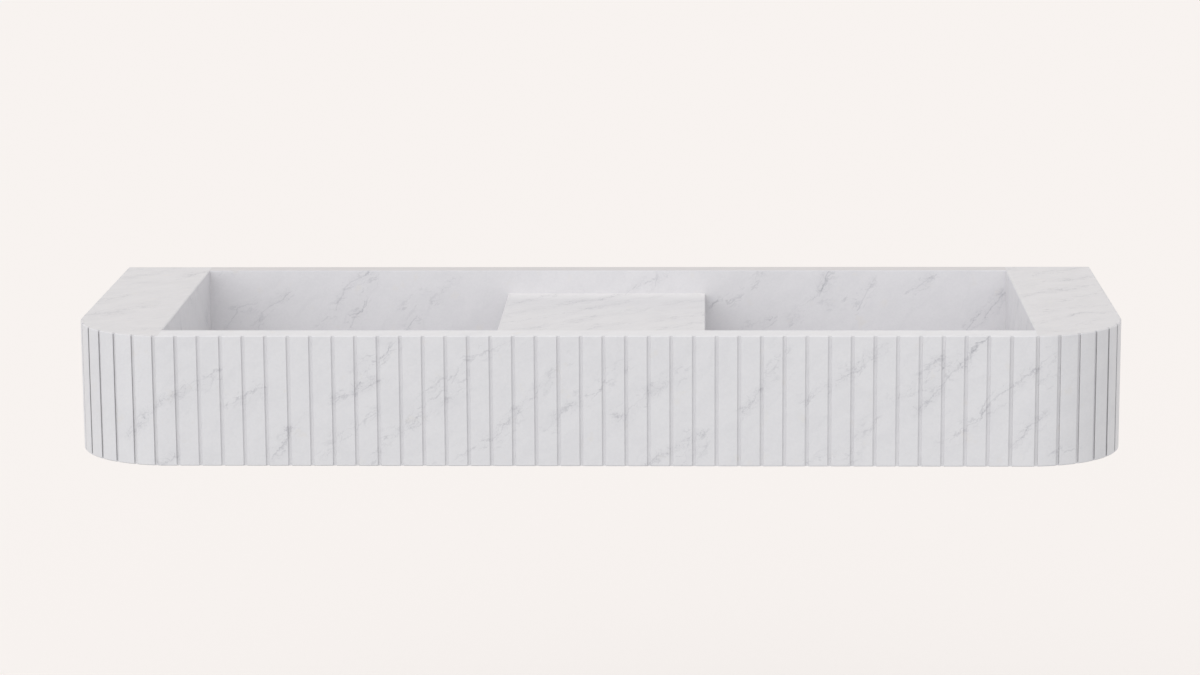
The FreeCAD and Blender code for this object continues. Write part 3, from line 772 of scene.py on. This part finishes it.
def end_tree(tree, made, material, result):
    """Turn copies into plain mesh, give it a material and pass it to the tree's output."""
    plain = step(tree, "GeometryNodeRealizeInstances", None, {"Geometry": made.outputs[0]})
    painted = step(tree, "GeometryNodeSetMaterial", None,
                   {"Geometry": plain.outputs[0], "Material": material})
    tree.links.new(painted.outputs[0], result.inputs["Geometry"])
    return tree


def lines_object(name, lines):
    """An object whose mesh is a set of polylines or points. A line that ends where it began is closed."""
    points, edges = [], []
    for line in lines:
        first = len(points)
        closed = len(line) > 1 and line[0] == line[-1]
        own = line[:-1] if closed else line
        points += own
        edges += [(first + k, first + k + 1) for k in range(len(own) - 1)]
        if closed:
            edges.append((first + len(own) - 1, first))
    mesh = bpy.data.meshes.new(name)
    mesh.from_pydata(points, edges, [])
    made = bpy.data.objects.new(name, mesh)
    bpy.context.scene.collection.objects.link(made)
    return made


def grow(base, tree, sizes):
    """Run a tree on an object and keep its result as a plain mesh of the same object."""
    modifier = base.modifiers.new(tree.name, "NODES")
    modifier.node_group = tree
    for item in tree.interface.items_tree:
        if item.name in sizes:
            modifier[item.identifier] = sizes[item.name]
    ready = base.evaluated_get(bpy.context.evaluated_depsgraph_get())
    mesh = bpy.data.meshes.new_from_object(ready)
    base.modifiers.clear()
    base.data = mesh
    mesh.name = base.name
    for face in mesh.polygons:
        face.use_smooth = True
    print(base.name, "has", len(mesh.polygons), "faces")


print("tree helpers ready")

# %% [markdown]
# ## Sealant round the basin floors
#
# Where the floor slab meets the walls of each basin, a fitter draws a bead of white silicone along the edge
# and smooths it with a wet finger, which leaves a hollow face. A curve runs round each floor, its corners
# are rounded, and a small section is swept along it. Its hollow side faces the basin, and its back reaches
# into the stone so that no gap opens where the floor falls away or the curve cuts a corner.

# %% Sealant finish
SEALANT_WHITE = (0.780, 0.780, 0.770, 1)
SEALANT_GREY = (0.640, 0.635, 0.620, 1)
SEALANT_DULL = Patches(scale=60.0, detail=5.0, roughness=0.65, start=0.45, end=0.72)
WIPED = dict(scale=400.0, detail=2.0, roughness=0.5)
SEALANT_ROUGH, DULL_ROUGH = 0.30, 0.20
SEALANT_BUMP, SEALANT_BUMP_DEPTH = 0.15, 0.0002


def make_sealant():
    material, shader, place = new_finish("white_sealant")
    dull = patchy(place, SEALANT_DULL)
    feed(shader, Base_Color=blend(dull, SEALANT_WHITE, SEALANT_GREY),
         Roughness=SEALANT_ROUGH + dull * DULL_ROUGH,
         Normal=bump(noise(place, **WIPED), SEALANT_BUMP, SEALANT_BUMP_DEPTH))
    return material


sealant_finish = make_sealant()
print("sealant mixed")

# %% Sealant beads
FLOOR_EDGE = -0.031
BEAD_LEG = 0.0030
BEAD_CORNER, BEAD_CORNER_STEPS = 0.0040, 6
BEAD_SECTION = (0.6, 0.10, 0), (-1.0, 0.10, 0), (-0.33, -0.33, 0), (0.6, -1.6, 0)


def sealant_tree():
    tree, given, result = new_tree("sealant_bead", ["Leg", "Corner"])
    path = step(tree, "GeometryNodeMeshToCurve", None, {"Mesh": given.outputs["Geometry"]})
    rounded = step(tree, "GeometryNodeFilletCurve", {"mode": "POLY"},
                   {"Curve": path.outputs[0], "Count": BEAD_CORNER_STEPS, "Radius": given.outputs["Corner"]})
    upright = step(tree, "GeometryNodeSetCurveNormal", {"mode": "Z_UP"}, {"Curve": rounded.outputs[0]})
    section = step(tree, "GeometryNodeCurvePrimitiveQuadrilateral", {"mode": "POINTS"},
                   {f"Point {number}": point for number, point in enumerate(BEAD_SECTION, 1)})
    scale = step(tree, "ShaderNodeCombineXYZ", None, {axis: given.outputs["Leg"] for axis in "XYZ"})
    scaled = step(tree, "GeometryNodeTransform", None,
                  {"Geometry": section.outputs[0], "Scale": scale.outputs[0]})
    swept = step(tree, "GeometryNodeCurveToMesh", None,
                 {"Curve": upright.outputs[0], "Profile Curve": scaled.outputs[0]})
    return end_tree(tree, swept, sealant_finish, result)


def floor_outline(side):
    """Corners of one basin's floor, anticlockwise from above and back to the first."""
    low, high = sorted((side * BASIN_OUTER, side * BASIN_INNER))
    corners = [(low, BASIN_FRONT), (high, BASIN_FRONT), (high, BASIN_BACK), (low, BASIN_BACK)]
    return [(x, y, FLOOR_EDGE) for x, y in corners + corners[:1]]


beads = lines_object("sealant_beads", [floor_outline(-1), floor_outline(1)])
grow(beads, sealant_tree(), {"Leg": BEAD_LEG, "Corner": BEAD_CORNER})
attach(beads, "basin")
print("beads box", [[round(v, 4) for v in corner] for corner in (beads.bound_box[0], beads.bound_box[6])])

# %% [markdown]
# ## Weld beads on the brackets
#
# A weld is a row of overlapping drops that froze one after the other. Points are set along each seam at the
# welder's step, and a ball of a slightly different size sits on every point. The powder coat covers it all.

# %% Weld beads
WEB_FACE, BRACKET_SIDE = 0.525, 0.563
PLATE_FACE, ARM_TIP = -0.008, -0.315
ARM_UNDER, PLATE_FOOT = 0.046, -0.046
WELD_RADIUS = 0.0036
WELD_STEP = 0.0026
WELD_STOP = 0.0045
DROP_SEGMENTS, DROP_RINGS = 8, 6
LEAST_DROP, LARGEST_DROP, DROP_SEED = 0.86, 1.10, 11
RANDOM_LEAST, RANDOM_MOST, RANDOM_RESULT = 2, 3, 1


def weld_tree():
    tree, given, result = new_tree("weld_bead", ["Radius", "Step"])
    path = step(tree, "GeometryNodeMeshToCurve", None, {"Mesh": given.outputs["Geometry"]})
    spaced = step(tree, "GeometryNodeResampleCurve", {"mode": "LENGTH"},
                  {"Curve": path.outputs[0], "Length": given.outputs["Step"]})
    drop = step(tree, "GeometryNodeMeshUVSphere", None,
                {"Segments": DROP_SEGMENTS, "Rings": DROP_RINGS, "Radius": given.outputs["Radius"]})
    uneven = step(tree, "FunctionNodeRandomValue", {"data_type": "FLOAT"},
                  {"Seed": DROP_SEED, RANDOM_LEAST: LEAST_DROP, RANDOM_MOST: LARGEST_DROP})
    placed = step(tree, "GeometryNodeInstanceOnPoints", None,
                  {"Points": spaced.outputs[0], "Instance": drop.outputs["Mesh"],
                   "Scale": uneven.outputs[RANDOM_RESULT]})
    return end_tree(tree, placed, powder_coat, result)


def seams(side):
    """Three inner corners of a bracket, short of their ends: under the arm, down the plate and across it."""
    web = side * WEB_FACE
    ends = ((web, ARM_TIP + WELD_STOP, ARM_UNDER), (web, PLATE_FACE, PLATE_FOOT + WELD_STOP),
            (side * (BRACKET_SIDE - WELD_STOP), PLATE_FACE, ARM_UNDER))
    return [[(web, PLATE_FACE, ARM_UNDER), end] for end in ends]


welds = lines_object("weld_beads", seams(-1) + seams(1))
grow(welds, weld_tree(), {"Radius": WELD_RADIUS, "Step": WELD_STEP})
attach(welds, "basin")

# %% [markdown]
# ## Threads on the tails
#
# The tail of each waste carries a pipe thread for the trap. A thread is a ridge that climbs one pitch a
# turn, so a spiral is drawn, a small diamond is swept along it, and one copy is set on each tail. The
# wastes are chromed, and so are their threads.

# %% Pipe threads
TAIL_RADIUS = 0.02095
THREAD_TOP, THREAD_FOOT = -0.0745, -0.1075
THREAD_PITCH = 0.002309
THREAD_RIDGE, RIDGE_CORNERS = 0.0007, 4
THREAD_SIDES = 36


def thread_tree():
    tree, given, result = new_tree("pipe_thread", ["Radius", "Ridge", "Pitch", "Length"])
    turns = step(tree, "ShaderNodeMath", {"operation": "DIVIDE"},
                 {0: given.outputs["Length"], 1: given.outputs["Pitch"]})
    spiral = step(tree, "GeometryNodeCurveSpiral", None,
                  {"Resolution": THREAD_SIDES, "Rotations": turns.outputs[0],
                   "Height": given.outputs["Length"],
                   "Start Radius": given.outputs["Radius"], "End Radius": given.outputs["Radius"]})
    upright = step(tree, "GeometryNodeSetCurveNormal", {"mode": "Z_UP"}, {"Curve": spiral.outputs[0]})
    diamond = step(tree, "GeometryNodeCurvePrimitiveCircle", {"mode": "RADIUS"},
                   {"Resolution": RIDGE_CORNERS, "Radius": given.outputs["Ridge"]})
    swept = step(tree, "GeometryNodeCurveToMesh", None,
                 {"Curve": upright.outputs[0], "Profile Curve": diamond.outputs[0], "Fill Caps": True})
    placed = step(tree, "GeometryNodeInstanceOnPoints", None,
                  {"Points": given.outputs["Geometry"], "Instance": swept.outputs[0]})
    return end_tree(tree, placed, chrome, result)


threads = lines_object("pipe_threads", [[(side * DRAIN_X, DRAIN_Y, THREAD_FOOT)] for side in (-1, 1)])
grow(threads, thread_tree(), {"Radius": TAIL_RADIUS, "Ridge": THREAD_RIDGE, "Pitch": THREAD_PITCH,
                              "Length": THREAD_TOP - THREAD_FOOT})
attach(threads, "basin")

# %% [markdown]
# ## Light and floor
#
# The picture has bright, even light from all round, with a little more from low on the left of the viewer,
# and no shadow in sight. The world gives the even part, and one large soft sun the rest. The floor lies a
# good way below the basin, as it does under a basin on a wall. It looks as pale as the picture's ground,
# but throws less light back up, so that the front of the basin isn't lit from below.

# %% Light
PALE = (0.930, 0.888, 0.863, 1)
SUN_TURN, SUN_HEIGHT = -27.0, 22.0
SUN_STRENGTH = 1.10
SUN_WIDTH = 75.0
FILL = (0.834, 0.834, 0.834, 1)

sun_data = bpy.data.lights.new("sun", "SUN")
sun_data.energy = SUN_STRENGTH
sun_data.angle = math.radians(SUN_WIDTH)
sun = bpy.data.objects.new("sun", sun_data)
sun.rotation_euler = (math.radians(LEVEL - SUN_HEIGHT), 0, math.radians(SUN_TURN))
bpy.context.scene.collection.objects.link(sun)


def view_rays(tree):
    """1 for rays that see the surroundings as a picture: camera, mirror and glass rays."""
    path = Tap(tree).node("ShaderNodeLightPath", output="Is Camera Ray")
    outputs = path.socket.node.outputs
    seen = path + Tap(tree, outputs["Is Glossy Ray"]) + Tap(tree, outputs["Is Transmission Ray"])
    return seen.maths("MINIMUM", seen, 1.0)


world = bpy.data.worlds.new("studio")
bpy.context.scene.world = world
world.use_nodes = True
sky = world.node_tree.nodes["Background"]
world.node_tree.links.new(blend(view_rays(world.node_tree), FILL, PALE).socket, sky.inputs["Color"])
print("sun", SUN_STRENGTH, "and fill", FILL[0])

# %% [markdown]
# The floor's paint has no gloss. Seen as a picture it is pale, and for the light that it throws back it is
# grey.

# %% Floor
FLOOR_DROP = 0.78
FLOOR_SIZE = 60.0
FLOOR_SEEN = (0.965, 0.921, 0.895, 1)
FLOOR_BOUNCE = (0.5, 0.5, 0.5, 1)

bpy.ops.mesh.primitive_plane_add(size=FLOOR_SIZE, location=(0, 0, -FLOOR_DROP))
floor = bpy.context.object
floor.name = "floor"
floor_finish, floor_shader, _ = new_finish("floor_paint")
floor_colour = blend(view_rays(floor_finish.node_tree), FLOOR_BOUNCE, FLOOR_SEEN)
feed(floor_shader, Base_Color=floor_colour, Roughness=1.0, Specular_IOR_Level=0.0)
floor.data.materials.append(floor_finish)
print("floor", FLOOR_DROP, "m below the fixings")
